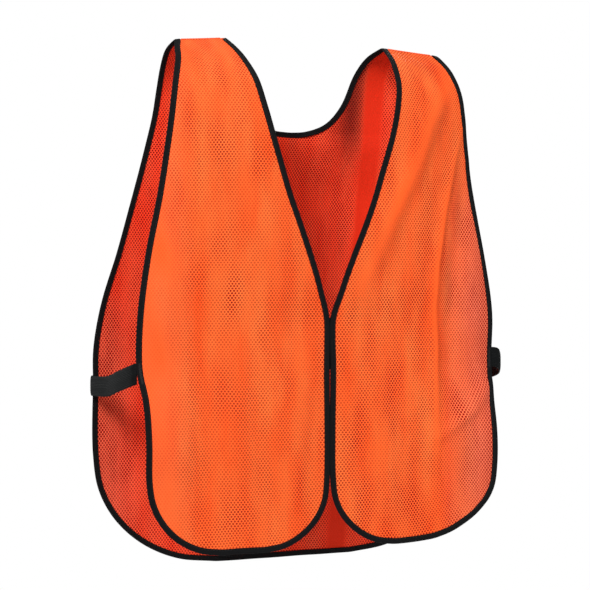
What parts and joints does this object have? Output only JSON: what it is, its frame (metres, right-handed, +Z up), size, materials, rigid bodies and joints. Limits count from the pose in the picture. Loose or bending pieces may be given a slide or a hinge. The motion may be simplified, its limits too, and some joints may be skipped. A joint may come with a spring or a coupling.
{
  "type": "mesh vest",
  "caption": "Blaze orange mesh vest with bound edges, elastic side straps and a hook-and-loop front closure.",
  "frame": {"origin": "on the shoulder line, midway between the two points where the neck edge crosses it", "axes": "+Z up, +X towards the wearer's left, -Y the way the wearer faces"},
  "size_m": [0.5374, 0.2121, 0.6686],
  "materials": {
    "orange_mesh": "knitted polyester mesh with small staggered holes, slightly shiny yarn",
    "black_binding": "ribbed folded binding tape, matt with a faint sheen",
    "black_elastic": "woven elastic with fine lengthwise ribs",
    "hook_and_loop": "dense short hooks or loops on a woven tape",
    "orange_thread": "overlocked thread",
    "black_thread": "bar-tacked thread"
  },
  "bodies": {
    "root": {"back_panel": "orange_mesh", "shoulder_panel_right": "orange_mesh", "shoulder_panel_left": "orange_mesh", "neck_binding": "black_binding", "outer_binding": "black_binding", "shoulder_seam_right": "orange_thread", "shoulder_seam_left": "orange_thread", "side_strap_right": "black_elastic", "side_strap_left": "black_elastic", "back_tack_right": "black_thread", "back_tack_left": "black_thread"},
    "front_right": {"front_panel_right": "orange_mesh", "front_binding_right": "black_binding", "front_tack_right": "black_thread", "hook_tape": "hook_and_loop"},
    "front_left": {"front_panel_left": "orange_mesh", "front_binding_left": "black_binding", "front_tack_left": "black_thread", "loop_tape": "hook_and_loop"}
  },
  "joints": [
    {"name": "front_right_open", "type": "hinge", "parent": "root", "child": "front_right", "pos_m": [-0.135, -0.086, -0.094], "axis": [-0.2858, 0.0676, -0.9559], "range_deg": [0, 70], "deforming": ["side_strap_right", "hook_tape"]},
    {"name": "front_left_open", "type": "hinge", "parent": "root", "child": "front_left", "pos_m": [0.135, -0.086, -0.094], "axis": [-0.2858, -0.0676, 0.9559], "range_deg": [0, 70], "deforming": ["side_strap_left"]}
  ]
}
